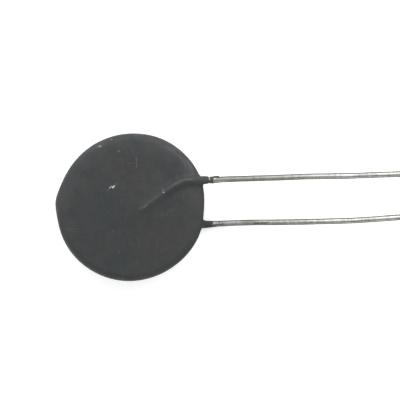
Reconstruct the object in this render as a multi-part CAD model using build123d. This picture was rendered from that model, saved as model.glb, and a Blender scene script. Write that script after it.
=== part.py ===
from build123d import *
from math import acos, atan2, cos, radians, sin, sqrt, tan
import os

# Disc-type power NTC thermistor, lying flat on its rear face, with both leads pointing to +X.
# Lengths are in millimetres and angles in degrees.

# Ceramic disc
ceramic_diameter = 23.8
ceramic_thickness = 3.8
ceramic_edge_chamfer = 0.25

# Fired silver electrodes, with a bare margin of ceramic around them
electrode_thickness = 0.03
electrode_margin = 0.7

# Round wire leads: two in a row across the disc's edge, the row a little off the disc's centre
wire_diameter = 1.0
lead_pitch = 7.5
lead_row_offset = 0.42
lead_free_length = 35.0

# Run of each lead over its face: straight in from the rim, then slanting to the middle
crank_inside_rim = 2.9
crank_angle = 32.0
crank_radius = 6.0
slant_length = 8.0

# Step of each lead just outside its collar, from its face to the disc's mid-plane
step_past_collar = 0.3
step_angle = 20.0
step_bend_radius = 4.0

# Slight hand-made bends of the leads in plan: heading up to the kink and turn at it, to the left positive
kink_before_tip = 11.5
kink_bend_radius = 40.0
front_lead_heading = -0.4
front_lead_kink = 0.8
rear_lead_heading = -0.8
rear_lead_kink = 3.2

# Solder bead: a film under the wire, a skin round it and a flank down each side
solder_film = 0.1
solder_skin = 0.06
solder_foot_width = 2.3
solder_edge_margin = 0.8

# Dipped resin coating
coat_on_face = 0.5
coat_on_rim = 0.6
coat_on_solder = 0.16
face_crown = 0.25
rim_rounding = 1.2

# Outline of the dipped coating: slightly oval, with the mark of the last drip opposite the leads
ovality = 0.2
ovality_direction = 37.0
drip_height = 0.28
drip_radius = 3.5
drip_direction = 175.0

# Ridge that the coating forms over each lead, with hollow flanks that run out on the face
flank_steep_angle = 45.0
flank_foot_angle = 15.0
flank_hollow_radius = 1.6
ridge_foot_depth = 0.35
ridge_root_depth = 0.4
ridge_fade_length = 2.4
ridge_fade_size = 0.1
ridge_rim_margin = 0.15
ridge_rim_rise = 1.0
ridge_rim_rounding = 3.0

# Collar of coating that creeps out along each lead
collar_length = 2.1
collar_taper_length = 1.3
collar_lip = 0.06

# Radii, levels and places that follow
ceramic_radius = ceramic_diameter / 2
electrode_radius = ceramic_radius - electrode_margin
coat_radius = ceramic_radius + coat_on_rim
wire_radius = wire_diameter / 2
skin_radius = wire_radius + solder_skin
ridge_radius = skin_radius + coat_on_solder
electrode_level = ceramic_thickness / 2 + electrode_thickness
wire_level = electrode_level + solder_film + wire_radius
face_level = electrode_level + coat_on_face
crest_level = wire_level + ridge_radius
row = lead_row_offset + lead_pitch / 2
rim_reach = sqrt(coat_radius**2 - row**2)
collar_end = rim_reach + collar_length
crank_corner = Vector(rim_reach - crank_inside_rim, row, wire_level)
tip_reach = collar_end + lead_free_length

# The origin is the middle of the length from the drip mark to the tips, on the surface that the part lies on.
resting = Pos((coat_radius + drip_height - tip_reach) / 2, 0, crest_level)


def turned_over(shape):
    """The shape on the rear face instead: half a turn about the line midway between the leads."""
    return shape.rotate(Axis((0, lead_row_offset, 0), (1, 0, 0)), 180)


def slant_point(distance):
    """The point on the front lead's slanting run at this distance from the crank's corner."""
    inward = Vector(-cos(radians(crank_angle)), -sin(radians(crank_angle)), 0)
    return crank_corner + inward * distance


def face_path(reach):
    """The front lead's line over its face, from its inner end out to this reach from the disc's centre."""
    outer_end = Vector(reach, row, wire_level)
    return FilletPolyline(slant_point(slant_length), crank_corner, outer_end, radius=crank_radius)


def section_plane(origin, along):
    """The plane across this direction, with its X to the right of it and its Y up."""
    return Plane(origin=origin, x_dir=Vector(0, 0, 1).cross(along), z_dir=along)


def make_ceramic():
    disc = Cylinder(ceramic_radius, ceramic_thickness)
    return chamfer(disc.edges().filter_by(GeomType.CIRCLE), ceramic_edge_chamfer)


def make_front_electrode():
    silver = Cylinder(electrode_radius, electrode_thickness)
    return Pos(0, 0, electrode_level - electrode_thickness / 2) * silver


def make_lead(heading, kink):
    """A lead on the front face: cranked over the electrode, stepped down to mid-plane, then out to its tip."""
    step_bend_reach = step_bend_radius * tan(radians(step_angle / 2))
    step_top = Vector(collar_end + step_past_collar + step_bend_reach, row, wire_level)
    step_foot = step_top + Vector(wire_level / tan(radians(step_angle)), 0, -wire_level)
    run = tip_reach - kink_before_tip - step_foot.X
    kink_point = step_foot + Vector(run, run * tan(radians(heading)), 0)
    tip = kink_point + Vector(kink_before_tip, kink_before_tip * tan(radians(heading + kink)), 0)
    path = FilletPolyline(
        slant_point(slant_length),
        crank_corner,
        step_top,
        step_foot,
        kink_point,
        tip,
        radius=[crank_radius, step_bend_radius, step_bend_radius, kink_bend_radius],
    )
    return sweep(section_plane(path @ 0, path % 0) * Circle(wire_radius), path=path)


def solder_section():
    """The bead across the wire: a round skin with straight flanks that touch it and stand on the electrode."""
    foot_half = solder_foot_width / 2
    below = wire_level - electrode_level
    touch_angle = acos(skin_radius / sqrt(foot_half**2 + below**2)) - atan2(below, foot_half)
    touch_x = skin_radius * cos(touch_angle)
    touch_y = skin_radius * sin(touch_angle)
    flanks = Polygon(
        (foot_half, -below),
        (touch_x, touch_y),
        (-touch_x, touch_y),
        (-foot_half, -below),
        align=None,
    )
    return Circle(skin_radius) + flanks


def make_front_solder(lead):
    """The bead along the wire, rounded over its inner end, on the electrode and clear of its edge."""
    path = face_path(rim_reach)
    plane = section_plane(path @ 0, path % 0)
    section = solder_section()
    half_section = split(section, bisect_by=Plane.YZ)
    bead = sweep(plane * section, path=path)
    bead += revolve(plane * half_section, Axis(plane.origin, (0, 0, 1)))
    bead &= Cylinder(electrode_radius - solder_edge_margin, 2 * crest_level)
    return bead - lead


def drip_mark():
    """The round swelling that the last drip leaves on the rim."""
    drip = Cylinder(drip_radius, ceramic_thickness)
    drip = fillet(drip.edges().filter_by(GeomType.CIRCLE), rim_rounding)
    reach = coat_radius + drip_height - drip_radius
    return Rot(0, 0, drip_direction) * Pos(reach, 0, 0) * drip


def coat_body():
    """The coated disc without its ridges: slightly crowned faces, a rounded rim and the drip mark."""
    oval = Rot(0, 0, ovality_direction) * Ellipse(coat_radius + ovality, coat_radius - ovality)
    body = extrude(oval, amount=crest_level, both=True)
    crown_radius = (coat_radius**2 + face_crown**2) / (2 * face_crown)
    crown_centre = crown_radius - face_level - face_crown
    # The spheres' poles are turned out to the sides, so that each face is one clean patch.
    body &= Pos(0, 0, -crown_centre) * Rot(0, 90, 0) * Sphere(crown_radius)
    body &= Pos(0, 0, crown_centre) * Rot(0, -90, 0) * Sphere(crown_radius)
    rim_edges = body.edges().filter_by(lambda edge: edge.geom_type != GeomType.LINE)
    return fillet(rim_edges, rim_rounding) + drip_mark()


def ridge_section(size):
    """The ridge across the wire: a round crest, hollow flanks that run out, and a root inside the body."""
    steep = radians(flank_steep_angle)
    shallow = radians(flank_foot_angle)
    crest_x = ridge_radius * sin(steep)
    crest_y = ridge_radius * cos(steep)
    hollow_x = crest_x + flank_hollow_radius * (sin(steep) - sin(shallow))
    hollow_y = crest_y - flank_hollow_radius * (cos(shallow) - cos(steep))
    foot_y = face_level - wire_level - ridge_foot_depth
    foot_x = hollow_x + (hollow_y - foot_y) / tan(shallow)
    root_y = foot_y - ridge_root_depth
    outline = Curve() + [
        ThreePointArc((-crest_x, crest_y), (0, ridge_radius), (crest_x, crest_y)),
        TangentArc((crest_x, crest_y), (hollow_x, hollow_y), tangent=(cos(steep), -sin(steep))),
        Polyline((hollow_x, hollow_y), (foot_x, foot_y), (foot_x, root_y)),
        Line((foot_x, root_y), (-foot_x, root_y)),
        Polyline((-foot_x, root_y), (-foot_x, foot_y), (-hollow_x, hollow_y)),
        TangentArc((-crest_x, crest_y), (-hollow_x, hollow_y), tangent=(-cos(steep), -sin(steep))),
    ]
    return scale(make_face(outline), size)


def front_ridge():
    """The coating's ridge over the front lead. It fades towards the middle and rolls off at the rim."""
    path = face_path(rim_reach)
    start = section_plane(path @ 0, path % 0)
    fade_end = section_plane(path @ 0 - (path % 0) * ridge_fade_length, path % 0)
    ridge = sweep(start * ridge_section(1), path=path)
    ridge += loft([start * ridge_section(1), fade_end * ridge_section(ridge_fade_size)], ruled=True)
    roll_off = Cylinder(
        coat_radius - ridge_rim_margin,
        crest_level + ridge_rim_rise,
        align=(Align.CENTER, Align.CENTER, Align.MIN),
    )
    return ridge & fillet(roll_off.edges().sort_by(Axis.Z)[-1], ridge_rim_rounding)


def front_collar():
    """The coating round the front lead itself, from under the ridge out to a thin lip past the rim."""
    taper_start = collar_end - collar_taper_length
    lip_radius = wire_radius + collar_lip
    path = face_path(taper_start)
    tube = sweep(section_plane(path @ 0, path % 0) * Circle(ridge_radius), path=path)
    taper = Polyline(
        (taper_start, 0),
        (taper_start, ridge_radius),
        (collar_end, lip_radius),
        (collar_end, 0),
        close=True,
    )
    wire_line = Plane(origin=(0, row, wire_level), x_dir=(1, 0, 0), z_dir=(0, 0, 1))
    return tube + revolve(wire_line * make_face(taper), Axis((0, row, wire_level), (1, 0, 0)))


def make_coating(contents):
    """The resin shell: the dipped form less everything that it encloses."""
    near_face = front_ridge() + front_collar()
    shell = coat_body() + near_face + turned_over(near_face)
    for piece in contents:
        shell -= piece
    return shell


ceramic_disc = make_ceramic()
front_electrode = make_front_electrode()
rear_electrode = mirror(front_electrode, Plane.XY)
front_lead = make_lead(front_lead_heading, front_lead_kink)
rear_lead = turned_over(make_lead(-rear_lead_heading, -rear_lead_kink))
front_solder = make_front_solder(front_lead)
rear_solder = turned_over(front_solder)

pieces = {
    "ceramic_disc": ceramic_disc,
    "front_electrode": front_electrode,
    "rear_electrode": rear_electrode,
    "front_lead": front_lead,
    "rear_lead": rear_lead,
    "front_solder": front_solder,
    "rear_solder": rear_solder,
}
pieces["coating"] = make_coating(list(pieces.values()))

os.makedirs("parts", exist_ok=True)
for name, piece in pieces.items():
    export_step(resting * piece, f"parts/{name}.step")
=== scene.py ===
import math

import bpy
import numpy as np
from mathutils import Matrix, Vector


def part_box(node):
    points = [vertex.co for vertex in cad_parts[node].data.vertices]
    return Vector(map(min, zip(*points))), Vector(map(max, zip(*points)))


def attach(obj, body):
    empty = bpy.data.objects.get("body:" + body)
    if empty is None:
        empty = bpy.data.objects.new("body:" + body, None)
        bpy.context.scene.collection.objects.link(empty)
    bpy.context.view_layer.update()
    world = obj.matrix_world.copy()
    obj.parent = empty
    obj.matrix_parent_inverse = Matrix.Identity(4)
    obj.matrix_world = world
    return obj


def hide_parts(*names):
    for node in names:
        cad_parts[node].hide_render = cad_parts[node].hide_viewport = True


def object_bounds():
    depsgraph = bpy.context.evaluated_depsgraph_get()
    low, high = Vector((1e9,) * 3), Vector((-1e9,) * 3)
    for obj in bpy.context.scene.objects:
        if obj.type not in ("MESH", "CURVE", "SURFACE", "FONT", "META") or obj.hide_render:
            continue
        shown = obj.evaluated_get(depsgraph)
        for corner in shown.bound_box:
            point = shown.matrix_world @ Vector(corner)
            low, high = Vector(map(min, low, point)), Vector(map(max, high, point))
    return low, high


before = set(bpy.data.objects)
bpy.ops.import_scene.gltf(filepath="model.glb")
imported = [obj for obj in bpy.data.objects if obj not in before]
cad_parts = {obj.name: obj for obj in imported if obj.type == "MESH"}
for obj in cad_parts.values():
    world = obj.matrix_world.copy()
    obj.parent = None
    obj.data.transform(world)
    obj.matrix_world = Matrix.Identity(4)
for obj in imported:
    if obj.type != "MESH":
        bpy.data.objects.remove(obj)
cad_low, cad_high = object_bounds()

# Disc thermistor: a matt, dipped disc on two tinned wires, which lies on a white surface.
# Shapes are worked out in millimetres and degrees in the disc's own frame, with the origin at its centre
# and its mid-plane at z = 0. The front face is the upper one.
MM = 0.001
disc_low, disc_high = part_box("ceramic_disc")
DISC_CENTRE = (disc_low + disc_high) / 2

# Photograph: its scale, the turn of the leads in it and the point of the disc's frame at its middle
PHOTO_SIDE = 400
PIXELS_PER_MM = 5.91
PHOTO_TURN = 1.95
PHOTO_MIDDLE = (11.70, 0.84)
LENS = 120.0
SENSOR = 36.0
VIEW_DISTANCE = PHOTO_SIDE / PIXELS_PER_MM * LENS / SENSOR

# Coated disc: its faces' level at the rim, how far they rise to the middle, and how flat they stay there
COAT_RADIUS = 12.5
FACE_LEVEL = 2.43
FACE_CROWN = 0.32
CROWN_POWER = 2.6
RIM_ROUNDING = 1.25

# The coating's outline, measured on the photograph: its mean change, and its waves round the rim, each as
# its order, cosine part and sine part
OUTLINE_MEAN = -0.014
OUTLINE_WAVES = (
    (1, 0.145, 0.028),
    (2, 0.068, 0.184),
    (3, 0.017, -0.009),
    (4, 0.007, 0.0),
    (5, 0.003, -0.018),
)

# The mark of the last drip, and the flatter stretch of rim between the leads: size, direction and half width
DRIP_HEIGHT = 0.344
DRIP_DIRECTION = 173.0
DRIP_HALF_WIDTH = 10.0
FLAT_DEPTH = 0.362
FLAT_DIRECTION = -4.0
FLAT_HALF_WIDTH = 16.0

# Leads: the wire, its level on the faces, and the row of the two leads where they cross the rim
WIRE_RADIUS = 0.5
WIRE_LEVEL = 2.53
LEAD_PITCH = 7.5
ROW_OFFSET = 0.42
ROW = ROW_OFFSET + LEAD_PITCH / 2
RIM_REACH = math.sqrt(COAT_RADIUS**2 - ROW**2)

# Run of a lead over its face: straight in from the rim, round the crank, then slanting to the middle,
# where its end lies a little deeper
CRANK_INSIDE_RIM = 2.9
CRANK_ANGLE = 32.0
CRANK_RADIUS = 6.0
SLANT_LENGTH = 8.0
WIRE_SINK = 0.09
CRANK_X = RIM_REACH - CRANK_INSIDE_RIM
CRANK_TANGENT = CRANK_RADIUS * math.tan(math.radians(CRANK_ANGLE / 2))

# Step of a lead down to the mid-plane just past its collar, and its free length
COLLAR_LENGTH = 2.1
STEP_PAST_COLLAR = 0.3
STEP_ANGLE = 20.0
STEP_RADIUS = 4.0
LEAD_LENGTH = 35.0
COLLAR_END_X = RIM_REACH + COLLAR_LENGTH
STEP_TANGENT = STEP_RADIUS * math.tan(math.radians(STEP_ANGLE / 2))
STEP_TOP_X = COLLAR_END_X + STEP_PAST_COLLAR + STEP_TANGENT
TIP_X = COLLAR_END_X + LEAD_LENGTH

# Bends of each lead in plan: its heading up to the kink, and its turn there
KINK_BEFORE_TIP = 11.5
KINK_RADIUS = 40.0
KINK_X = TIP_X - KINK_BEFORE_TIP
FRONT_BENDS = (-0.4, 0.8)
REAR_BENDS = (0.8, -3.2)

# Sway of each lead off its line, as the photograph shows it: places along X, and how far towards +Y there.
# It starts under the coating, and a blur over many samples rounds off its corners.
FRONT_SWAY = (
    (11.5, -0.03),
    (13.8, -0.03),
    (15.3, -0.025),
    (17.4, 0.015),
    (19.4, 0.0),
    (21.5, 0.01),
    (25.5, 0.02),
    (29.6, 0.08),
    (33.7, 0.04),
    (37.7, -0.02),
    (41.8, -0.02),
    (44.5, -0.05),
    (48.9, -0.05),
)
REAR_SWAY = (
    (11.5, -0.01),
    (13.8, -0.01),
    (15.3, 0.015),
    (17.2, 0.07),
    (21.2, 0.055),
    (23.3, -0.005),
    (27.3, -0.025),
    (33.4, -0.01),
    (37.4, 0.02),
    (41.5, -0.02),
    (48.9, -0.03),
)
SWAY_STARTS = (10.0, 11.5)
SWAY_SAMPLES = 400
SWAY_BLUR = 25

# Ridge of coating over each lead: an oval section, and the reach of its fillet on the face
RIDGE_HALF_WIDTH = 0.60
RIDGE_HEIGHT = 0.70
RIDGE_BLEND = 0.72

# On the slant the ridge widens and lies deeper, and past the wire's end it fades. Each pair is the two
# distances along the slant between which that happens.
RIDGE_WIDENING = 0.20
RIDGE_WIDENS = (-0.6, 1.2)
RIDGE_SINK = 0.32
RIDGE_SINKS = (-0.5, 4.2)
FADE_LENGTH = 1.9
FADE_SINK = 0.75

# Slow swell of the face, where the resin has pooled over the slant, and the stretch over which it gathers
SWELL_HEIGHT = 0.25
SWELL_REACH = 2.8
SWELL_START = 1.0
SWELL_GATHERS = (-0.5, 3.6)

# Collars of coating past the rim: where the ridge becomes round, the radius along X, where each one ends,
# and where the line that they are built round stops
RIDGE_ROUNDS = (11.0, 12.3)
FRONT_COLLAR = ((11.6, 0.70), (12.3, 0.695), (12.66, 0.67), (13.0, 0.63), (13.17, 0.60), (13.35, 0.56))
REAR_COLLAR = (
    (11.6, 0.70),
    (12.1, 0.70),
    (12.4, 0.665),
    (12.75, 0.635),
    (13.1, 0.60),
    (13.45, 0.575),
    (13.85, 0.555),
)
FRONT_END = 13.22
REAR_END = 13.80
CORE_END = 14.3

# A collar's ragged lip: how far it leans and waves along X, each with its phase in radians, and the stretch
# over which the coating thins out there
LIP_LEAN = 0.08
LIP_LEAN_AT = 2.2
LIP_WAVE = 0.03
LIP_WAVE_AT = -2.1
LIP_THINS = (-0.05, 0.20)
LIP_DEPTH = 0.22

# Webs of coating between a collar and the rim: their reach on the lead's outer and inner side and below it,
# and the stretches along X, across the lead and below it over which they come in
FRONT_WEBS = (0.22, 0.95)
REAR_WEBS = (0.50, 1.15)
WEB_BELOW = 1.3
WEB_STARTS = (10.6, 12.0)
WEB_SIDES = (0.2, -0.2)
WEB_DROP = (0.1, 1.0)

# Flake of resin that clings to the front lead, and the thread that joins it to the collar inside the wire
FLAKE_PLACE = (14.54, 4.65, 2.68)
FLAKE_SIZE = (0.54, 0.14, 0.31)
FLAKE_WAVE = 0.12
FLAKE_WAVE_NUMBER = 9
THREAD_RADIUS = 0.2
THREAD_SIDE = 0.25
THREAD_OVERLAP = 0.3

# Unevenness of the coating: each kind's height, and the band inside the rim where the body's own fades out
SLOW_HEIGHT = 0.026
QUICK_HEIGHT = 0.007
RIDGE_QUICK_HEIGHT = 0.018
ROUGH_EDGE = 1.2
ROUGH_FADE = 3.0

# Grid on which the coating's surface is found, and how its points settle on the surface
GRID = 0.15
COAT_LOW = (-13.35, -13.2, -3.75)
COAT_HIGH = (15.6, 13.2, 3.75)
SETTLE_ROUNDS = 4
SLOPE_STEP = 0.01
LEAST_SLOPE = 0.2
LONGEST_MOVE = 0.05

# Room left inside the CAD part's own box, and how gently points are eased into it
BOX_MARGIN = 0.002
BOX_EASE = 1.0

# Wires: the mesh, how much thinner than nominal they are, how uneven, and the pinch and shear at the tip
WIRE_SIDES = 28
WIRE_SPACING = 0.22
WIRE_THINNING = 0.008
SLOW_UNEVEN = 0.006
SLOW_UNEVEN_NUMBER = 1.3
QUICK_UNEVEN = 0.004
QUICK_UNEVEN_NUMBER = 4.1
FRONT_SEED = 0.0
REAR_SEED = 2.0
TIP_PINCH = 0.7
TIP_WIDENS = 0.06
TIP_FLATTENS = 0.38
TIP_SLOPE = 0.10
TIP_MIDDLE = 0.06

# Resin on each wire past its collar: a crust all round it, and a lump of tin on the front wire's inner side
CRUST_X = 13.75
CRUST_HALF_LENGTH = 0.5
LUMP_X = 14.3
LUMP_HALF_LENGTH = 0.9
FRONT_CRUST = (0.08, 0.07)
REAR_CRUST = (0.045, 0.0)

# The one source of chance, for the coating's unevenness
rng = np.random.RandomState(seed=27)


def to_row(points):
    """Points of the disc's frame, in mm, as points of the row's frame, in metres."""
    return np.asarray(points, float) * MM + np.array(DISC_CENTRE)


def turned_over(points):
    """Half a turn about the line midway between the leads, which takes one face's lead to the other's."""
    return np.stack([points[:, 0], 2 * ROW_OFFSET - points[:, 1], -points[:, 2]], axis=1)


def smooth_step(low, high, value):
    """A smooth rise from 0 at one value to 1 at the other."""
    t = np.clip((value - low) / (high - low), 0, 1)
    return t * t * (3 - 2 * t)


def blended(first, second, reach):
    """The union of two distance fields, rounded within this reach of where they meet."""
    share = np.maximum(reach - np.abs(first - second), 0) / reach
    return np.minimum(first, second) - share * share * reach / 4


def waves(count, shortest, longest):
    """Plane waves in random directions, as rows of wave vector and phase."""
    directions = rng.normal(size=(count, 3))
    directions /= np.linalg.norm(directions, axis=1)[:, None]
    lengths = rng.uniform(shortest, longest, size=count)
    phases = rng.uniform(0, 2 * math.pi, size=count)
    return directions * (2 * math.pi / lengths)[:, None], phases


def ripple(points, field):
    """The sum of plane waves at these points, from about -1 to 1."""
    vectors, phases = field
    total = np.zeros(len(points))
    for vector, phase in zip(vectors, phases):
        total += np.sin(points @ vector + phase)
    return total / math.sqrt(2 * len(phases))


SLOW_WAVES = waves(count=14, shortest=4.0, longest=9.0)
QUICK_WAVES = waves(count=18, shortest=1.1, longest=2.6)


def hump(direction, middle, half_width):
    """A bell curve over direction, 1 at its middle."""
    away = (direction - middle + 180) % 360 - 180
    return np.exp(-((away / half_width) ** 2))


def outline_change(direction):
    """How far the coating's outline lies outside its mean circle in this direction."""
    total = OUTLINE_MEAN + DRIP_HEIGHT * hump(direction, DRIP_DIRECTION, DRIP_HALF_WIDTH)
    total = total - FLAT_DEPTH * hump(direction, FLAT_DIRECTION, FLAT_HALF_WIDTH)
    for order, cosine, sine in OUTLINE_WAVES:
        angle = order * np.radians(direction)
        total = total + cosine * np.cos(angle) + sine * np.sin(angle)
    return total


def segment_place(p, start, end):
    """Distance in plan from a straight run, and how far along it from its start."""
    along = np.array(end) - np.array(start)
    length = np.linalg.norm(along)
    along = along / length
    x = p[:, 0] - start[0]
    y = p[:, 1] - start[1]
    s = np.clip(x * along[0] + y * along[1], 0, length)
    return np.hypot(x - s * along[0], y - s * along[1]), s


def slant_point(distance):
    """The point in plan on the front lead's slanting run at this distance from the crank's corner."""
    bend = math.radians(CRANK_ANGLE)
    return np.array([CRANK_X - distance * math.cos(bend), ROW - distance * math.sin(bend)])


def swell(p):
    """How far the resin has pooled over the inner part of the slanting lead, on the front face."""
    away, s = segment_place(p, slant_point(SWELL_START), slant_point(SLANT_LENGTH))
    return SWELL_HEIGHT * smooth_step(*SWELL_GATHERS, s) * np.exp(-((away / SWELL_REACH) ** 2))


def disc_distance(p):
    """The coated disc: its uneven outline, crowned and swollen faces, and round rim."""
    reach = np.hypot(p[:, 0], p[:, 1])
    direction = np.degrees(np.arctan2(p[:, 1], p[:, 0]))
    share = np.clip(reach / COAT_RADIUS, 0, 1)
    across = reach - outline_change(direction) * share - (COAT_RADIUS - RIM_ROUNDING)
    half = FACE_LEVEL + FACE_CROWN * (1 - share**CROWN_POWER)
    half = half + np.where(p[:, 2] > 0, swell(p), swell(turned_over(p)))
    up = np.abs(p[:, 2]) - (half - RIM_ROUNDING)
    outside = np.hypot(np.maximum(across, 0), np.maximum(up, 0))
    return outside + np.minimum(np.maximum(across, up), 0) - RIM_ROUNDING


def tube(across, up, half_width, height):
    """Distance, about, from a tube with an oval section."""
    return (np.hypot(across / half_width, up / height) - 1) * np.minimum(half_width, height)


def collar_radius(p, x, radii, end):
    """The coating's radius round the straight wire. It thins past the rim and ends in an uneven lip."""
    around = np.arctan2(p[:, 2] - WIRE_LEVEL, p[:, 1] - ROW)
    ragged = LIP_LEAN * np.cos(around - LIP_LEAN_AT) + LIP_WAVE * np.sin(3 * around - LIP_WAVE_AT)
    places, sizes = zip(*radii)
    lip_start = end + ragged + LIP_THINS[0]
    lip_end = end + ragged + LIP_THINS[1]
    return np.interp(x, places, sizes) - LIP_DEPTH * smooth_step(lip_start, lip_end, x)


def slant_distance(p):
    """The ridge over the slanting run, which fades past the wire's inner end."""
    away, s = segment_place(p, slant_point(CRANK_TANGENT), slant_point(SLANT_LENGTH + FADE_LENGTH))
    wire_end = SLANT_LENGTH - CRANK_TANGENT
    faded = smooth_step(wire_end, wire_end + FADE_LENGTH, s)
    width = RIDGE_HALF_WIDTH + RIDGE_WIDENING * (1 - faded) * smooth_step(*RIDGE_WIDENS, s)
    sink = RIDGE_SINK * smooth_step(*RIDGE_SINKS, s) + FADE_SINK * faded
    return tube(away, p[:, 2] - WIRE_LEVEL + sink, width, RIDGE_HEIGHT)


def straight_distance(p, radii, end, sway):
    """The ridge from the crank outwards, which turns into the round collar past the rim."""
    start = CRANK_X + CRANK_TANGENT
    away, along = segment_place(p - np.array([0, sway, 0]), (start, ROW), (CORE_END, ROW))
    x = start + along
    radius = collar_radius(p, x, radii, end)
    round_share = smooth_step(*RIDGE_ROUNDS, x)
    half_width = RIDGE_HALF_WIDTH + (radius - RIDGE_HALF_WIDTH) * round_share
    height = RIDGE_HEIGHT + (radius - RIDGE_HEIGHT) * round_share
    return tube(away, p[:, 2] - WIRE_LEVEL, half_width, height)


def crank_distance(p):
    """The ridge round the crank, between the two straight runs."""
    x = p[:, 0] - (CRANK_X + CRANK_TANGENT)
    y = p[:, 1] - (ROW - CRANK_RADIUS)
    turn = np.degrees(np.arctan2(y, x)) - 90
    widening = RIDGE_WIDENING * smooth_step(*RIDGE_WIDENS, 0) * smooth_step(0, CRANK_ANGLE, turn)
    away = np.abs(np.hypot(x, y) - CRANK_RADIUS)
    arc = tube(away, p[:, 2] - WIRE_LEVEL, RIDGE_HALF_WIDTH + widening, RIDGE_HEIGHT)
    return np.where((turn > 0) & (turn < CRANK_ANGLE), arc, math.inf)


def ridge_distance(p, radii, end, sway):
    """The coating over the front lead: along its slant and crank, and out past the rim."""
    runs = np.minimum(slant_distance(p), straight_distance(p, radii, end, sway))
    return np.minimum(runs, crank_distance(p))


def join_reach(p, webs):
    """How wide the fillet is: along the ridge, and at the rim on each side of the lead and below it."""
    inner = smooth_step(*WEB_SIDES, p[:, 1] - ROW)
    web = webs[0] + (webs[1] - webs[0]) * inner
    below = smooth_step(*WEB_DROP, WIRE_LEVEL - p[:, 2])
    at_rim = web + (WEB_BELOW - web) * below
    return RIDGE_BLEND + (at_rim - RIDGE_BLEND) * smooth_step(*WEB_STARTS, p[:, 0])


def flake_distance(p):
    """The flake that clings to the front lead, with its thread inside the wire's outline."""
    offset = (p - np.array(FLAKE_PLACE)) / np.array(FLAKE_SIZE)
    wavy = 1 + FLAKE_WAVE * np.sin(FLAKE_WAVE_NUMBER * p[:, 0])
    flake = (np.linalg.norm(offset, axis=1) - wavy) * min(FLAKE_SIZE)
    line, _ = segment_place(p, (CORE_END - THREAD_OVERLAP, ROW), (FLAKE_PLACE[0], ROW + THREAD_SIDE))
    thread = np.hypot(line, p[:, 2] - WIRE_LEVEL) - THREAD_RADIUS
    return np.minimum(flake, thread)


def coat_distance(p):
    """Signed distance, about, from the coating's outer surface."""
    quick = ripple(p, QUICK_WAVES)
    rough = SLOW_HEIGHT * ripple(p, SLOW_WAVES) + QUICK_HEIGHT * quick
    from_edge = COAT_RADIUS + ROUGH_EDGE - np.hypot(p[:, 0], p[:, 1])
    body = disc_distance(p) - rough * smooth_step(0, ROUGH_FADE, from_edge)
    over = turned_over(p)
    front = ridge_distance(p, FRONT_COLLAR, FRONT_END, FRONT_SWAY[0][1]) - RIDGE_QUICK_HEIGHT * quick
    rear = ridge_distance(over, REAR_COLLAR, REAR_END, -REAR_SWAY[0][1]) - RIDGE_QUICK_HEIGHT * quick
    coat = blended(body, np.minimum(front, flake_distance(p)), join_reach(p, FRONT_WEBS))
    return blended(coat, rear, join_reach(over, REAR_WEBS))


def gradient(distance, points):
    """Slope of a distance field at these points."""
    slopes = []
    for step in np.eye(3) * SLOPE_STEP:
        slopes.append((distance(points + step) - distance(points - step)) / (2 * SLOPE_STEP))
    return np.stack(slopes, axis=1)


def grid_values(distance, low, shape):
    """The field on a grid of points, layer by layer."""
    axes = [low[i] + GRID * np.arange(shape[i]) for i in range(3)]
    x, y = np.meshgrid(axes[0], axes[1], indexing="ij")
    values = np.empty(shape)
    for k, z in enumerate(axes[2]):
        layer = np.stack([x.ravel(), y.ravel(), np.full(x.size, z)], axis=1)
        values[:, :, k] = distance(layer).reshape(x.shape)
    return values


def cell_points(values, low):
    """One point in each cell that the surface crosses: the mean of its edges' crossings."""
    inside = values < 0
    cells = tuple(n - 1 for n in values.shape)
    total = np.zeros(cells + (3,))
    count = np.zeros(cells)

    def at_corner(array, corner):
        return array[tuple(slice(c, c + n) for c, n in zip(corner, cells))]

    for near in np.ndindex(2, 2, 2):
        for axis in range(3):
            if near[axis]:
                continue
            far = tuple(c + (i == axis) for i, c in enumerate(near))
            value = at_corner(values, near)
            crossed = at_corner(inside, near) != at_corner(inside, far)
            share = np.where(crossed, value / np.where(crossed, value - at_corner(values, far), 1), 0)
            for i in range(3):
                total[..., i] += np.where(crossed, near[i] + (share if i == axis else 0), 0)
            count += crossed
    used = count > 0
    number = np.full(cells, -1)
    number[used] = np.arange(used.sum())
    points = low + GRID * (np.argwhere(used) + total[used] / count[used][:, None])
    return points, number, inside


def net_quads(number, inside):
    """A quad round each grid edge that the surface crosses."""
    quads = []
    for axis in range(3):
        order = (axis, (axis + 1) % 3, (axis + 2) % 3)
        first = np.moveaxis(inside, order, (0, 1, 2))
        cells = np.moveaxis(number, order, (0, 1, 2))
        here = first[:-1, 1:-1, 1:-1]
        there = first[1:, 1:-1, 1:-1]
        ring = [cells[:, :-1, :-1], cells[:, 1:, :-1], cells[:, 1:, 1:], cells[:, :-1, 1:]]
        out = here & ~there
        back = ~here & there
        quads.append(np.stack([r[out] for r in ring], axis=1))
        quads.append(np.stack([r[back] for r in ring[::-1]], axis=1))
    return np.concatenate(quads)


def surface_of(distance, low, high):
    """A closed mesh of quads on the field's zero surface, as points and faces."""
    low = np.array(low, float)
    shape = tuple(int(math.ceil((high[i] - low[i]) / GRID)) + 1 for i in range(3))
    points, number, inside = cell_points(grid_values(distance, low, shape), low)
    for _ in range(SETTLE_ROUNDS):
        slope = gradient(distance, points)
        steep = np.maximum((slope * slope).sum(axis=1), LEAST_SLOPE)
        move = np.clip(distance(points) / steep, -LONGEST_MOVE, LONGEST_MOVE)
        points = points - slope * move[:, None]
    return points, net_quads(number, inside)


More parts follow.
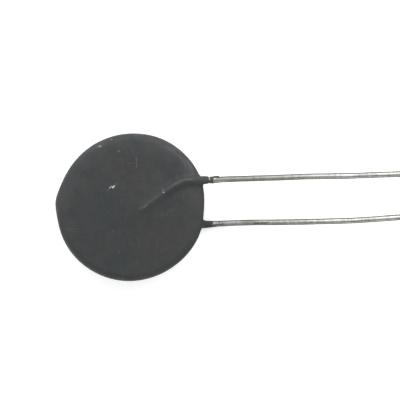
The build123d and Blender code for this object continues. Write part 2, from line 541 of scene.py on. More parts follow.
def kept_inside(points):
    """The points, eased in by a few hundredths of a millimetre where they would pass the CAD part's box."""
    low = (np.array(cad_low) - np.array(DISC_CENTRE)) / MM + BOX_MARGIN
    high = (np.array(cad_high) - np.array(DISC_CENTRE)) / MM - BOX_MARGIN
    points = points.copy()
    for axis in range(3):
        for sign, limit in ((1, high[axis]), (-1, -low[axis])):
            value = sign * points[:, axis]
            over = max(value.max() - limit, 0)
            points[:, axis] -= sign * over * smooth_step(limit - BOX_EASE, limit + over, value)
    return points


def add_mesh(name, points, faces, material, flat=0):
    """A smooth-shaded object of points in the disc's frame. This many of its last faces are flat."""
    mesh = bpy.data.meshes.new(name)
    mesh.from_pydata(to_row(points).tolist(), [], [tuple(int(i) for i in face) for face in faces])
    mesh.materials.append(material)
    mesh.shade_smooth()
    for face in list(mesh.polygons)[len(faces) - flat:]:
        face.use_smooth = False
    mesh.update()
    piece = bpy.data.objects.new(name, mesh)
    bpy.context.scene.collection.objects.link(piece)
    return piece


def arc_points(before, corner, after, radius, spacing):
    """Points along the arc that rounds a corner."""
    u = (corner - before) / np.linalg.norm(corner - before)
    v = (after - corner) / np.linalg.norm(after - corner)
    turn = math.acos(float(np.clip(u @ v, -1, 1)))
    centre = corner + (v - u) / np.linalg.norm(v - u) * radius / math.cos(turn / 2)
    side = corner - u * radius * math.tan(turn / 2) - centre
    count = max(2, int(math.ceil(radius * turn / spacing)))
    angles = [turn * i / count for i in range(count + 1)]
    return [centre + side * math.cos(angle) + u * radius * math.sin(angle) for angle in angles]


def rounded_path(corners, radii, spacing):
    """Points along straight runs joined by arcs, and the length up to each."""
    corners = [np.array(c, float) for c in corners]
    points = [corners[0]]
    for before, corner, after, radius in zip(corners, corners[1:], corners[2:], radii):
        points += arc_points(before, corner, after, radius, spacing)
    points.append(corners[-1])
    dense = [points[0]]
    for a, b in zip(points, points[1:]):
        pieces = max(1, int(math.ceil(np.linalg.norm(b - a) / spacing)))
        for i in range(1, pieces + 1):
            dense.append(a + (b - a) * i / pieces)
    dense = np.array(dense)
    steps = np.linalg.norm(np.diff(dense, axis=0), axis=1)
    return dense, np.concatenate([[0], np.cumsum(steps)])


def lead_corners(bends):
    """Corners of the front lead's line, with its bends in plan."""
    heading, kink = bends
    foot_x = STEP_TOP_X + WIRE_LEVEL / math.tan(math.radians(STEP_ANGLE))
    kink_y = ROW + (KINK_X - foot_x) * math.tan(math.radians(heading))
    tip_y = kink_y + (TIP_X - KINK_X) * math.tan(math.radians(heading + kink))
    return [
        (*slant_point(SLANT_LENGTH), WIRE_LEVEL - WIRE_SINK),
        (CRANK_X, ROW, WIRE_LEVEL),
        (STEP_TOP_X, ROW, WIRE_LEVEL),
        (foot_x, ROW, 0),
        (KINK_X, kink_y, 0),
        (TIP_X, tip_y, 0),
    ]


def side_shift(x, sway):
    """How far a lead sways to the side at each place along X, with the corners of the sway rounded off."""
    places, offsets = zip(*sway)
    fine = np.linspace(places[0], places[-1], SWAY_SAMPLES)
    padded = np.pad(np.interp(fine, places, offsets), SWAY_BLUR // 2, mode="edge")
    spread = np.convolve(padded, np.ones(SWAY_BLUR) / SWAY_BLUR, mode="valid")
    return np.interp(x, fine, spread) * smooth_step(*SWAY_STARTS, x)


def resin_height(x, around, crusts):
    """How much resin and tin thicken a wire past its collar, at each place along X and angle round it."""
    crust = crusts[0] * np.exp(-(((x - CRUST_X) / CRUST_HALF_LENGTH) ** 4))
    lump = crusts[1] * np.exp(-(((x - LUMP_X) / LUMP_HALF_LENGTH) ** 2))
    return crust[:, None] + lump[:, None] * np.maximum(-np.cos(around), 0)


def wire_rings(line, length, crusts, seed):
    """Rings of points round a wire's line: a little uneven, and pinched and sheared at the tip."""
    forward = np.gradient(line, axis=0)
    forward /= np.linalg.norm(forward, axis=1)[:, None]
    side = np.cross([0, 0, 1.0], forward)
    side /= np.linalg.norm(side, axis=1)[:, None]
    up = np.cross(forward, side)
    around = 2 * math.pi * np.arange(WIRE_SIDES) / WIRE_SIDES
    along = length[:, None]
    to_tip = length[-1] - along
    pinched = smooth_step(TIP_PINCH, 0, to_tip)
    uneven = SLOW_UNEVEN * np.sin(along * SLOW_UNEVEN_NUMBER + seed + np.sin(around))
    uneven = uneven + QUICK_UNEVEN * np.sin(along * QUICK_UNEVEN_NUMBER + 2 * around + 2 * seed)
    radius = WIRE_RADIUS - WIRE_THINNING + resin_height(line[:, 0], around, crusts) + uneven * (1 - pinched)
    wide = radius * np.cos(around) * (1 + TIP_WIDENS * pinched)
    tall = radius * np.sin(around) * (1 - TIP_FLATTENS * pinched)
    shear = TIP_SLOPE * (1 + np.sin(around)) * (to_tip == 0)
    rings = line[:, None, :] + wide[..., None] * side[:, None, :] + tall[..., None] * up[:, None, :]
    return rings - forward[:, None, :] * shear[..., None], forward


def wire_mesh(bends, sway, crusts, seed):
    """A tinned wire as points and faces. The last faces are the fans at its two ends."""
    radii = [CRANK_RADIUS, STEP_RADIUS, STEP_RADIUS, KINK_RADIUS]
    line, length = rounded_path(lead_corners(bends), radii, WIRE_SPACING)
    line[:, 1] += side_shift(line[:, 0], sway)
    rings, forward = wire_rings(line, length, crusts, seed)
    points = rings.reshape(-1, 3)
    inner = len(points)
    last = inner - WIRE_SIDES
    points = np.vstack([points, line[0], line[-1] - forward[-1] * TIP_MIDDLE])
    faces = []
    for a in range(0, last, WIRE_SIDES):
        b = a + WIRE_SIDES
        for j in range(WIRE_SIDES):
            k = (j + 1) % WIRE_SIDES
            faces.append((a + j, b + j, b + k, a + k))
    for j in range(WIRE_SIDES):
        k = (j + 1) % WIRE_SIDES
        faces.append((inner, j, k))
        faces.append((inner + 1, last + k, last + j))
    return points, faces


def new_material(name):
    material = bpy.data.materials.new(name)
    material.use_nodes = True
    tree = material.node_tree
    return material, tree, tree.nodes["Principled BSDF"]


def add_node(tree, kind, inputs=None, **settings):
    """A node with settings, and values or links at its inputs."""
    node = tree.nodes.new(kind)
    for key, value in settings.items():
        setattr(node, key, value)
    for key, value in (inputs or {}).items():
        if isinstance(value, bpy.types.NodeSocket):
            tree.links.new(value, node.inputs[key])
        else:
            node.inputs[key].default_value = value
    return node


def maths(tree, operation, first, second=0.0):
    return add_node(tree, "ShaderNodeMath", {0: first, 1: second}, operation=operation).outputs[0]


def product(tree, first, second):
    return maths(tree, "MULTIPLY", first, second)


def strongest(tree, masks):
    """The largest of several masks at each point."""
    result = masks[0]
    for mask in masks[1:]:
        result = maths(tree, "MAXIMUM", result, mask)
    return result


def vector_maths(tree, operation, first, second):
    return add_node(tree, "ShaderNodeVectorMath", {0: first, 1: second}, operation=operation).outputs[0]


def vector_value(tree, operation, *vectors):
    """A number worked out from vectors, such as a length."""
    node = add_node(tree, "ShaderNodeVectorMath", dict(enumerate(vectors)), operation=operation)
    return node.outputs["Value"]


def axis_parts(tree, place):
    return add_node(tree, "ShaderNodeSeparateXYZ", {0: place}).outputs


def in_plan(tree, place):
    """A place with its height left out."""
    return vector_maths(tree, "MULTIPLY", place, (1, 1, 0))


def disc_coordinates(tree, stretch=(1, 1, 1), turn=0.0):
    """Object coordinates in mm in the disc's frame, turned, then stretched along each axis."""
    place = add_node(tree, "ShaderNodeTexCoord").outputs["Object"]
    moved = vector_maths(tree, "SUBTRACT", place, DISC_CENTRE)
    turned = add_node(tree, "ShaderNodeMapping", {"Vector": moved, "Rotation": (0, 0, math.radians(turn))})
    return vector_maths(tree, "MULTIPLY", turned.outputs[0], tuple(v / MM for v in stretch))


def noise(tree, place, scale, detail=3.0, roughness=0.5):
    inputs = {"Vector": place, "Scale": scale, "Detail": detail, "Roughness": roughness}
    return add_node(tree, "ShaderNodeTexNoise", inputs).outputs["Fac"]


def ranged(tree, value, low, high, to_low=0.0, to_high=1.0):
    """A value mapped from one range to another, smoothly and clamped."""
    inputs = {"Value": value, "From Min": low, "From Max": high, "To Min": to_low, "To Max": to_high}
    return add_node(tree, "ShaderNodeMapRange", inputs, interpolation_type="SMOOTHSTEP").outputs["Result"]


# Levels of a noise: those that hold its middle part, and those that hold nearly all of it
NOISE_MIDDLE = (0.3, 0.7)
NOISE_SPAN = (0.2, 0.8)


def patches(tree, place, scale, low, high, detail=3.0, roughness=0.5):
    """Soft patches: 0 where a noise lies below one level, and 1 where it lies above the other."""
    return ranged(tree, noise(tree, place, scale, detail, roughness), low, high)


def mixed(tree, share, first, second):
    """One colour mixed into another by a share."""
    node = add_node(tree, "ShaderNodeMix", data_type="RGBA")
    sockets = [s for s in node.inputs if s.type == "RGBA"]
    for socket, value in zip([node.inputs[0]] + sockets, (share, first, second)):
        if isinstance(value, bpy.types.NodeSocket):
            tree.links.new(value, socket)
        else:
            socket.default_value = value
    return [s for s in node.outputs if s.type == "RGBA"][0]


def add_relief(tree, shader, height, strength, depth):
    """Roughens the surface by a height, without moving its mesh. The depth is in mm."""
    inputs = {"Height": height, "Strength": strength, "Distance": depth * MM}
    tree.links.new(add_node(tree, "ShaderNodeBump", inputs).outputs[0], shader.inputs["Normal"])


# Marks on the coating's upper face, as strokes on the photograph: both ends, width in pixels, and strength
PALE_MARKS = (
    (112.8, 187.5, 114.3, 186.1, 1.2, 0.9),
    (110.1, 187.9, 111.4, 186.5, 1.1, 0.45),
    (107.6, 190.4, 110.0, 188.2, 0.8, 0.08),
    (115.0, 185.3, 116.6, 183.8, 0.8, 0.07),
    (98.9, 146.5, 100.6, 146.1, 1.5, 0.26),
    (97.2, 147.1, 98.8, 146.7, 1.1, 0.10),
    (118.2, 151.6, 119.4, 151.4, 1.3, 0.10),
    (111.2, 139.5, 111.6, 139.3, 1.4, 0.12),
    (163.2, 192.6, 163.7, 192.5, 1.3, 0.36),
    (162.6, 189.6, 163.4, 190.0, 1.1, 0.10),
    (144.6, 206.9, 145.4, 206.4, 1.2, 0.08),
    (146.3, 205.5, 147.0, 205.0, 1.0, 0.12),
)
# Paler strokes of wear. The first nine follow the ridge's crest and also paint its highlight there.
WEAR_AND_HIGHLIGHT_MARKS = (
    (192.2, 179.4, 185.8, 179.4, 1.9, 0.52),
    (185.8, 179.4, 180.8, 180.9, 2.0, 0.32),
    (180.8, 180.9, 174.4, 184.5, 2.9, 0.34),
    (174.4, 184.5, 168.8, 188.4, 3.1, 0.31),
    (168.5, 187.9, 163.1, 191.7, 2.8, 0.22),
    (160.4, 193.9, 154.6, 198.3, 2.9, 0.24),
    (154.6, 198.6, 149.2, 202.0, 3.0, 0.26),
    (149.2, 202.5, 144.6, 206.3, 2.7, 0.22),
    (144.0, 206.8, 139.6, 209.0, 2.2, 0.32),
    (136.4, 158.0, 136.7, 166.6, 1.2, 0.42),
    (136.6, 153.0, 136.4, 158.0, 1.0, 0.14),
    (127.6, 163.3, 133.8, 163.2, 1.0, 0.20),
    (65.8, 229.3, 71.0, 228.8, 1.1, 0.22),
    (71.0, 228.8, 79.5, 228.6, 1.1, 0.16),
    (65.8, 231.6, 78.0, 231.5, 0.9, 0.12),
    (184.8, 163.0, 187.4, 169.6, 1.2, 0.30),
    (189.4, 163.6, 192.3, 169.8, 1.1, 0.34),
    (186.2, 160.0, 188.0, 163.4, 1.0, 0.20),
    (83.0, 167.0, 81.2, 172.0, 1.0, 0.14),
    (113.0, 231.2, 114.0, 230.6, 1.6, 0.22),
    (118.6, 252.4, 119.8, 251.6, 1.5, 0.26),
    (161.0, 214.0, 167.0, 215.0, 2.4, 0.10),
    (168.4, 211.2, 173.6, 209.6, 3.6, 0.12),
    (165.4, 249.0, 167.6, 248.0, 1.6, 0.18),
    (181.0, 247.0, 182.0, 246.4, 1.4, 0.16),
)

# A stroke's soft edge: where it starts and ends, in half widths, and how unevenly its width varies
STROKE_EDGE = (0.3, 1.9)
STROKE_UNEVEN = (0.6, 1.7)

# Heights over which the upper face's marks, and its scuffs with their painted reflection, fade in, so that
# the lower face has none
MARKS_FADE_IN = (0.2, 1.0)
SCUFF_SHEEN_FADE_IN = (0.2, 1.2)


def from_photo(x, y):
    """A place on the photograph as one on the upper face, which is nearer the lens than the mid-plane."""
    turn = math.radians(PHOTO_TURN)
    scale = (1 - FACE_LEVEL / VIEW_DISTANCE) / PIXELS_PER_MM
    across = (x - PHOTO_SIDE / 2) * scale
    up = (PHOTO_SIDE / 2 - y) * scale
    right = PHOTO_MIDDLE[0] + across * math.cos(turn) + up * math.sin(turn)
    above = PHOTO_MIDDLE[1] - across * math.sin(turn) + up * math.cos(turn)
    return right, above


def stroke_distance(tree, flat, start, run):
    """Distance in plan from a stroke."""
    offset = vector_maths(tree, "SUBTRACT", flat, start)
    dot = vector_value(tree, "DOT_PRODUCT", offset, run / run.length_squared)
    share = add_node(tree, "ShaderNodeMath", {0: dot, 1: 1.0}, operation="MULTIPLY", use_clamp=True)
    scaled = {0: run, "Scale": share.outputs[0]}
    along = add_node(tree, "ShaderNodeVectorMath", scaled, operation="SCALE").outputs[0]
    return vector_value(tree, "LENGTH", vector_maths(tree, "SUBTRACT", offset, along))


def stroke_mask(tree, strokes):
    """How strongly these strokes mark the upper face, with slightly uneven edges."""
    place = disc_coordinates(tree)
    flat = in_plan(tree, place)
    specks = noise(tree, place, scale=4.0, detail=4.0, roughness=0.65)
    jitter = ranged(tree, specks, *NOISE_MIDDLE, *STROKE_UNEVEN)
    spots = []
    for x0, y0, x1, y1, width, strength in strokes:
        start = Vector((*from_photo(x0, y0), 0))
        run = Vector((*from_photo(x1, y1), 0)) - start
        away = product(tree, stroke_distance(tree, flat, start, run), jitter)
        half = width / PIXELS_PER_MM / 2
        spots.append(ranged(tree, away, half * STROKE_EDGE[0], half * STROKE_EDGE[1], strength, 0.0))
    upper = ranged(tree, axis_parts(tree, place)["Z"], *MARKS_FADE_IN)
    return product(tree, strongest(tree, spots), upper)


# Scuffs on the rim, with a painted reflection of light on them: directions between which each comes in and
# goes out, and its strength. Their band along the radius, and how their streaks are stretched along the
# radius, round the rim and in height
RIGHT_SCUFF_SHEEN = ((21, 34), (56, 76), 1.0)
LEFT_SCUFF_SHEEN = ((96, 112), (124, 140), 0.5)
SCUFF_SHEEN_BAND = (10.9, 12.0)
SCUFF_SHEEN_STRETCH = (3.6, 9.0, 0.5)

# Painted sheen on the rim: its band and how ragged that is, and the stretch of Y over which it rises from
# its least
RIM_SHEEN_BAND = (8.6, 12.4)
RIM_SHEEN_CLOUDS = (0.25, 0.75)
RIM_SHEEN_RAGGED = 0.9
RIM_SHEEN_RISES = (-12.0, 8.0)
RIM_SHEEN_LEAST = 0.25


def arc_share(tree, direction, starts, ends, strength):
    """A share that comes in over one stretch of directions and goes out over another."""
    coming = ranged(tree, direction, math.radians(starts[0]), math.radians(starts[1]), 0.0, strength)
    going = ranged(tree, direction, math.radians(ends[0]), math.radians(ends[1]), 1.0, 0.0)
    return product(tree, coming, going)


def rim_scuff_and_sheen_mask(tree):
    """The paler band on the upper right of the rim, and a fainter one on its upper left: scuffs with a
    painted reflection of light on them.
    """
    place = disc_coordinates(tree)
    parts = axis_parts(tree, place)
    reach = vector_value(tree, "LENGTH", in_plan(tree, place))
    direction = maths(tree, "ARCTAN2", parts["Y"], parts["X"])
    right = arc_share(tree, direction, *RIGHT_SCUFF_SHEEN)
    left = arc_share(tree, direction, *LEFT_SCUFF_SHEEN)
    polar = add_node(tree, "ShaderNodeCombineXYZ", {0: reach, 1: direction, 2: parts["Z"]}).outputs[0]
    stretched = vector_maths(tree, "MULTIPLY", polar, SCUFF_SHEEN_STRETCH)
    streaks = patches(tree, stretched, scale=1.0, low=0.44, high=0.66, detail=4.0, roughness=0.6)
    band = ranged(tree, reach, *SCUFF_SHEEN_BAND)
    upper = ranged(tree, parts["Z"], *SCUFF_SHEEN_FADE_IN)
    share = product(tree, maths(tree, "ADD", right, left), product(tree, band, streaks))
    return product(tree, share, upper)


def painted_rim_sheen_share(tree):
    """A painted sheen that makes the rim paler, strongest on its upper half, where more light falls."""
    place = disc_coordinates(tree)
    reach = vector_value(tree, "LENGTH", in_plan(tree, place))
    cloudy = ranged(tree, noise(tree, place, scale=0.35), *RIM_SHEEN_CLOUDS, -RIM_SHEEN_RAGGED, RIM_SHEEN_RAGGED)
    band = ranged(tree, maths(tree, "ADD", reach, cloudy), *RIM_SHEEN_BAND)
    return product(tree, band, ranged(tree, axis_parts(tree, place)["Y"], *RIM_SHEEN_RISES, RIM_SHEEN_LEAST, 1.0))


# Colours of the resin: its two cloudy ground tints, where it is worn, which also paints the ridge crest's
# highlight, and where it is scratched
RESIN_COOL = (0.036, 0.0415, 0.0435, 1.0)
RESIN_WARM = (0.0465, 0.0445, 0.0430, 1.0)
RESIN_WEAR_AND_HIGHLIGHT = (0.130, 0.128, 0.118, 1.0)
RESIN_CHALK = (0.78, 0.78, 0.76, 1.0)

# Tints over the resin's ground, from the first to the last: colour, and how strongly it covers
RESIN_TINTS = {
    "blotches": ((0.031, 0.036, 0.040, 1.0), 0.60),
    "grain": ((0.068, 0.070, 0.068, 1.0), 0.22),
    "streaks": ((0.080, 0.086, 0.088, 1.0), 0.28),
    # Painted sheen on the rim.
    "rim_sheen": ((0.078, 0.082, 0.086, 1.0), 0.42),
    # Scuffs, partly a painted reflection of light.
    "scuffs_and_sheen": ((0.100, 0.104, 0.117, 1.0), 0.60),
}

# Surface of the resin: its gloss, its roughness off and on the blotches, how its streaks are stretched, and
# the share of its finest pores
RESIN_GLOSS = 0.32
RESIN_ROUGHNESS = (0.50, 0.66)
RESIN_STREAK_STRETCH = (2.6, 0.45, 1.0)
FINE_PORES_SHARE = 0.5


def coat_material():
    """Matt dipped resin: dark grey with cloudy tints, faint streaks, pale specks, wear with a painted
    highlight along the ridge's crest, and a scuffed rim with painted sheen.
    """
    material, tree, shader = new_material("matt_dipped_resin")
    place = disc_coordinates(tree)
    upright = disc_coordinates(tree, RESIN_STREAK_STRETCH, PHOTO_TURN)
    clouds = patches(tree, place, scale=0.20, low=0.36, high=0.64)
    blotches = patches(tree, place, scale=0.55, low=0.32, high=0.70, detail=5.0, roughness=0.65)
    shares = {
        "blotches": blotches,
        "grain": patches(tree, place, scale=3.2, low=0.35, high=0.68, detail=6.0, roughness=0.7),
        "streaks": patches(tree, upright, scale=1.0, low=0.56, high=0.76),
        "rim_sheen": painted_rim_sheen_share(tree),
        "scuffs_and_sheen": rim_scuff_and_sheen_mask(tree),
    }
    colour = mixed(tree, clouds, RESIN_COOL, RESIN_WARM)
    for name, (tint, strength) in RESIN_TINTS.items():
        colour = mixed(tree, product(tree, shares[name], strength), colour, tint)
    # Wear, with the painted highlight along the ridge's crest.
    colour = mixed(tree, stroke_mask(tree, WEAR_AND_HIGHLIGHT_MARKS), colour, RESIN_WEAR_AND_HIGHLIGHT)
    colour = mixed(tree, stroke_mask(tree, PALE_MARKS), colour, RESIN_CHALK)
    tree.links.new(colour, shader.inputs["Base Color"])
    tree.links.new(ranged(tree, blotches, 0.0, 1.0, *RESIN_ROUGHNESS), shader.inputs["Roughness"])
    shader.inputs["Specular IOR Level"].default_value = RESIN_GLOSS
    fine = noise(tree, place, scale=5.0, detail=6.0, roughness=0.7)
    coarse = noise(tree, place, scale=1.4, detail=4.0, roughness=0.6)
    height = maths(tree, "ADD", product(tree, fine, FINE_PORES_SHARE), coarse)
    add_relief(tree, shader, height, strength=0.40, depth=0.05)
    return material


# Dried resin and smudges, and painted highlights of bright tin, on each wire: place along X and across it,
# half sizes, and strength
FRONT_STAINS = (
    (13.80, -0.02, 0.25, 0.50, 1.0),
    (13.66, -0.30, 0.40, 0.22, 1.0),
    (15.00, 0.30, 0.24, 0.10, 0.6),
    (39.50, 0.15, 1.50, 0.26, 0.20),
)
# Painted highlights on the tin, in places over bare tin by the collars.
FRONT_TIN_HIGHLIGHTS = (
    (13.41, 0.24, 0.05, 0.36, 0.22),
    (14.30, 0.16, 0.26, 0.12, 0.25),
    (15.30, -0.36, 1.35, 0.11, 0.5),
)
REAR_STAINS = (
    (14.10, -0.30, 0.40, 0.24, 0.9),
    (14.80, -0.13, 0.80, 0.14, 0.6),
    (14.80, 0.36, 0.24, 0.12, 0.5),
    (21.90, -0.07, 1.30, 0.17, 0.75),
    (40.40, 0.10, 1.50, 0.30, 0.20),
)
REAR_TIN_HIGHLIGHTS = (
    (14.02, 0.16, 0.14, 0.22, 0.75),
    (14.56, 0.12, 0.16, 0.12, 0.6),
    (15.10, 0.16, 0.22, 0.10, 0.5),
    (16.95, 0.20, 1.60, 0.30, 0.42),
)

# The soft edge of a stain and of a painted highlight, in half sizes from its middle, and how ragged it is
PATCH_EDGE = (0.82, 1.08)
PATCH_RAGGED = 0.42

# Colours of the tin, dull by the disc and clean far out, each between the two ends of its drawn streaks
DULL_TIN = ((0.21, 0.21, 0.185, 1.0), (0.44, 0.44, 0.40, 1.0))
CLEAN_TIN = ((0.53, 0.515, 0.49, 1.0), (0.80, 0.78, 0.75, 1.0))
# Colour of the painted highlights on the tin
TIN_HIGHLIGHT_COLOUR = (0.80, 0.80, 0.80, 1.0)
RING_SHADE = (0.13, 0.13, 0.12, 1.0)
RING_LEVELS = (0.38, 0.72)
RING_STRENGTH = 0.42
FRONT_STAIN_COLOUR = (0.050, 0.048, 0.043, 1.0)
REAR_STAIN_COLOUR = (0.080, 0.064, 0.052, 1.0)

# Surface of the tin: the stretch of X over which it goes from dull to clean and how ragged that is, the
# roughness of both and of the stains, how the streaks vary it, and the stretch of streaks and rings
TIN_CLEARS = (16.0, 42.0)
TIN_RAGGED = 3.0
TIN_ROUGHNESS = (0.50, 0.33)
TIN_UNEVEN = (0.8, 1.25)
STAIN_ROUGHNESS = 0.6
DRAWN_STRETCH = (0.35, 5.0, 5.0)
RING_STRETCH = (2.6, 0.8, 0.8)
TIN_LUMPS_SHARE = 1.2


def halves_off(tree, value, middle, half):
    """How far a value lies from a middle, in half sizes."""
    return maths(tree, "DIVIDE", maths(tree, "ABSOLUTE", maths(tree, "SUBTRACT", value, middle)), half)


def stain_and_highlight_mask(tree, tin_patches, centre_y):
    """How thickly these patches cover a wire, with ragged edges: stains, and painted highlights."""
    place = disc_coordinates(tree)
    parts = axis_parts(tree, place)
    across = maths(tree, "SUBTRACT", parts["Y"], centre_y)
    clumps = noise(tree, place, scale=3.6, detail=4.0, roughness=0.6)
    ragged = ranged(tree, clumps, *NOISE_MIDDLE, -PATCH_RAGGED, PATCH_RAGGED)
    spots = []
    for x, y, half_x, half_y, strength in tin_patches:
        off = strongest(tree, [halves_off(tree, parts["X"], x, half_x), halves_off(tree, across, y, half_y)])
        spots.append(ranged(tree, maths(tree, "ADD", off, ragged), *PATCH_EDGE, strength, 0.0))
    return strongest(tree, spots)


def tin_material(name, tin_patches, stain_colour, painted_highlights, centre_y):
    """Tinned copper wire: bright with drawn streaks far out, duller and stained with resin near the disc,
    with painted highlights there.
    """
    material, tree, shader = new_material(name)
    place = disc_coordinates(tree)
    cloudy = noise(tree, place, scale=0.9, detail=4.0, roughness=0.6)
    shift = ranged(tree, cloudy, *NOISE_SPAN, -TIN_RAGGED, TIN_RAGGED)
    clean = ranged(tree, maths(tree, "ADD", axis_parts(tree, place)["X"], shift), *TIN_CLEARS)
    drawn = disc_coordinates(tree, DRAWN_STRETCH)
    streaks = noise(tree, drawn, scale=1.0, detail=5.0, roughness=0.6)
    rings = noise(tree, disc_coordinates(tree, RING_STRETCH), scale=1.0, detail=4.0, roughness=0.6)
    stain = stain_and_highlight_mask(tree, tin_patches, centre_y)
    colour = mixed(tree, clean, mixed(tree, streaks, *DULL_TIN), mixed(tree, streaks, *CLEAN_TIN))
    # Painted highlights of bright tin.
    colour = mixed(tree, stain_and_highlight_mask(tree, painted_highlights, centre_y), colour, TIN_HIGHLIGHT_COLOUR)
    colour = mixed(tree, ranged(tree, rings, *RING_LEVELS, 0.0, RING_STRENGTH), colour, RING_SHADE)
    colour = mixed(tree, stain, colour, stain_colour)
    tree.links.new(colour, shader.inputs["Base Color"])
    tree.links.new(maths(tree, "SUBTRACT", 1.0, stain), shader.inputs["Metallic"])
    worn = ranged(tree, clean, 0.0, 1.0, *TIN_ROUGHNESS)
    uneven = product(tree, ranged(tree, streaks, *NOISE_SPAN, *TIN_UNEVEN), worn)
    roughness = strongest(tree, [uneven, product(tree, stain, STAIN_ROUGHNESS)])
    tree.links.new(roughness, shader.inputs["Roughness"])
    lumps = product(tree, noise(tree, place, scale=2.2, detail=4.0), TIN_LUMPS_SHARE)
    height = maths(tree, "ADD", maths(tree, "ADD", streaks, rings), lumps)
    add_relief(tree, shader, height, strength=0.40, depth=0.03)
    return material


# How a grain varies the roughness of a piece that the coating hides
GRAIN_UNEVEN = (0.8, 1.2)


def grainy_material(name, dark, light, scale, metallic, rough):
    """A plain two-tone grain for the pieces that the coating hides."""
    material, tree, shader = new_material(name)
    grain = noise(tree, disc_coordinates(tree), scale, detail=6.0, roughness=0.65)
    tree.links.new(mixed(tree, ranged(tree, grain, *NOISE_MIDDLE), dark, light), shader.inputs["Base Color"])
    least = rough * GRAIN_UNEVEN[0]
    most = rough * GRAIN_UNEVEN[1]
    tree.links.new(ranged(tree, grain, *NOISE_SPAN, least, most), shader.inputs["Roughness"])
    shader.inputs["Metallic"].default_value = metallic
    add_relief(tree, shader, grain, strength=0.3, depth=0.03)
    return material


def add_camera():
    """A long lens straight above, turned and placed so that the photograph's frame is the view."""
    data = bpy.data.cameras.new("view")
    data.lens = LENS
    data.sensor_width = SENSOR
    data.clip_start = 0.01
    data.clip_end = 10.0
    camera = bpy.data.objects.new("view", data)
    place = Vector(to_row([(*PHOTO_MIDDLE, 0)])[0]) + Vector((0, 0, VIEW_DISTANCE * MM))
    camera.matrix_world = Matrix.Translation(place) @ Matrix.Rotation(math.radians(-PHOTO_TURN), 4, "Z")
    bpy.context.scene.collection.objects.link(camera)
    bpy.context.scene.camera = camera


# Stage, in metres: how brightly the world lights things, the floor, and the place that the lamps aim at
WHITE = (1, 1, 1, 1)
BLACK = (0, 0, 0, 1)
WORLD_LIGHT = 0.66
FLOOR_COLOUR = (0.80, 0.80, 0.80, 1)
FLOOR_ROUGHNESS = 0.9
FLOOR_LIFT = 0.58
FLOOR_SIDE = 8.0
LAMP_TARGET = (-0.01, 0, 0)


def seen_share(tree):
    """1 for camera rays and for reflected and transmitted ones, and 0 for those that only light things."""
    rays = add_node(tree, "ShaderNodeLightPath").outputs
    return strongest(tree, [rays["Is Camera Ray"], rays["Is Glossy Ray"], rays["Is Transmission Ray"]])


def add_world():
    """A white surround, which lights the object a little less than it shows."""
    world = bpy.data.worlds.new("studio")
    bpy.context.scene.world = world
    world.use_nodes = True
    tree = world.node_tree
    background = tree.nodes["Background"]
    background.inputs["Color"].default_value = WHITE
    strength = ranged(tree, seen_share(tree), 0.0, 1.0, WORLD_LIGHT, 1.0)
    tree.links.new(strength, background.inputs["Strength"])


def add_sheet(name, corners, look, colour):
    """A flat four-sided thing of the stage, without gloss, whose glow is white where it has one."""
    mesh = bpy.data.meshes.new(name)
    mesh.from_pydata(corners, [], [(0, 1, 2, 3)])
    sheet = bpy.data.objects.new(name, mesh)
    bpy.context.scene.collection.objects.link(sheet)
    material, tree, shader = new_material(look)
    shader.inputs["Base Color"].default_value = colour
    shader.inputs["Specular IOR Level"].default_value = 0.0
    shader.inputs["Emission Color"].default_value = WHITE
    mesh.materials.append(material)
    return sheet, tree, shader


def level_corners(low_x, low_y, high_x, high_y, z):
    return [(low_x, low_y, z), (high_x, low_y, z), (high_x, high_y, z), (low_x, high_y, z)]


def upright_corners(half_x, y, high_z):
    return [(-half_x, y, 0), (half_x, y, 0), (half_x, y, high_z), (-half_x, y, high_z)]


def add_floor():
    """A wide white surface that keeps the object's soft shadow."""
    half = FLOOR_SIDE / 2
    corners = level_corners(-half, -half, half, half, 0)
    floor, tree, shader = add_sheet("floor", corners, "white_surface", FLOOR_COLOUR)
    shader.inputs["Roughness"].default_value = FLOOR_ROUGHNESS
    tree.links.new(product(tree, seen_share(tree), FLOOR_LIFT), shader.inputs["Emission Strength"])


def add_flag(name, corners, shade):
    """A card that only reflections see, as a photographer sets out round bright metal."""
    card, _, shader = add_sheet(name, corners, name, BLACK)
    shader.inputs["Emission Strength"].default_value = shade
    card.visible_camera = False
    card.visible_diffuse = False
    card.visible_shadow = False


def add_lamp(name, location, size, power, colour):
    """A rectangular lamp that is aimed at the object."""
    data = bpy.data.lights.new(name, "AREA")
    data.shape = "RECTANGLE"
    data.size = size[0]
    data.size_y = size[1]
    data.energy = power
    data.color = colour
    lamp = bpy.data.objects.new(name, data)
    aim = (Vector(LAMP_TARGET) - Vector(location)).to_track_quat("-Z", "Y").to_matrix().to_4x4()
    lamp.matrix_world = Matrix.Translation(location) @ aim
    bpy.context.scene.collection.objects.link(lamp)


def add_lights():
    add_world()
    add_floor()
    add_lamp("key", (0.02, 0.34, 0.32), size=(0.80, 0.40), power=1.40, colour=(1.0, 1.0, 1.0))
    add_lamp("side", (0.30, 0.22, 0.16), size=(0.20, 0.20), power=0.22, colour=(0.90, 0.95, 1.0))
    add_flag("overhead_card", level_corners(-0.6, -0.60, 0.6, -0.10, 0.42), shade=0.14)
    add_flag("ground_card", level_corners(-0.004, -0.14, 0.16, 0.14, 0.0001), shade=0.17)
    add_flag("back_card", upright_corners(0.8, 0.75, 0.26), shade=0.35)


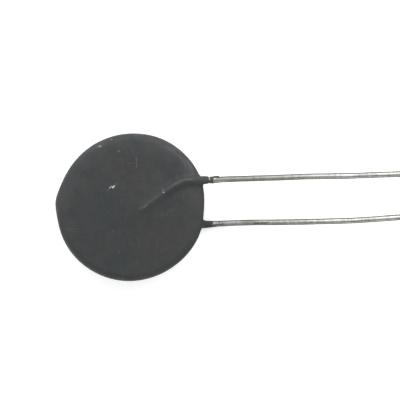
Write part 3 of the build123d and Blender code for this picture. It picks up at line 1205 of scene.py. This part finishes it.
def build_coating():
    points, faces = surface_of(coat_distance, COAT_LOW, COAT_HIGH)
    coat = add_mesh("resin_coat", kept_inside(points), faces, coat_material())
    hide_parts("coating")
    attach(coat, "root")


def build_wires():
    """Both wires. The rear one is shaped as a front one that sways the other way, then turned over."""
    points, faces = wire_mesh(FRONT_BENDS, FRONT_SWAY, FRONT_CRUST, FRONT_SEED)
    material = tin_material("tinned_copper_front", FRONT_STAINS, FRONT_STAIN_COLOUR, FRONT_TIN_HIGHLIGHTS, ROW)
    front = add_mesh("front_wire", points, faces, material, flat=2 * WIRE_SIDES)
    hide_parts("front_lead")
    sway = [(x, -offset) for x, offset in REAR_SWAY]
    rear_row = 2 * ROW_OFFSET - ROW
    points, faces = wire_mesh(REAR_BENDS, sway, REAR_CRUST, REAR_SEED)
    material = tin_material("tinned_copper_rear", REAR_STAINS, REAR_STAIN_COLOUR, REAR_TIN_HIGHLIGHTS, rear_row)
    rear = add_mesh("rear_wire", turned_over(points), faces, material, flat=2 * WIRE_SIDES)
    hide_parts("rear_lead")
    for wire in (front, rear):
        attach(wire, "root")


def dress_node(name, material):
    """Gives a CAD node a material."""
    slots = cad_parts[name].data.materials
    slots.clear()
    slots.append(material)


def dress_inner_pieces():
    """Materials for the pieces that the coating hides."""
    oxide = ((0.020, 0.019, 0.018, 1.0), (0.060, 0.055, 0.050, 1.0))
    silver = ((0.55, 0.54, 0.51, 1.0), (0.80, 0.79, 0.76, 1.0))
    solder = ((0.42, 0.42, 0.42, 1.0), (0.66, 0.66, 0.65, 1.0))
    ceramic_look = grainy_material("sintered_oxide", *oxide, scale=2.5, metallic=0.0, rough=0.7)
    silver_look = grainy_material("fired_silver", *silver, scale=1.2, metallic=1.0, rough=0.42)
    solder_look = grainy_material("tin_solder", *solder, scale=0.8, metallic=1.0, rough=0.28)
    dress_node("ceramic_disc", ceramic_look)
    for side in ("front", "rear"):
        dress_node(side + "_electrode", silver_look)
        dress_node(side + "_solder", solder_look)


bpy.context.scene.view_settings.view_transform = "Standard"
add_camera()
add_lights()
build_coating()
build_wires()
dress_inner_pieces()
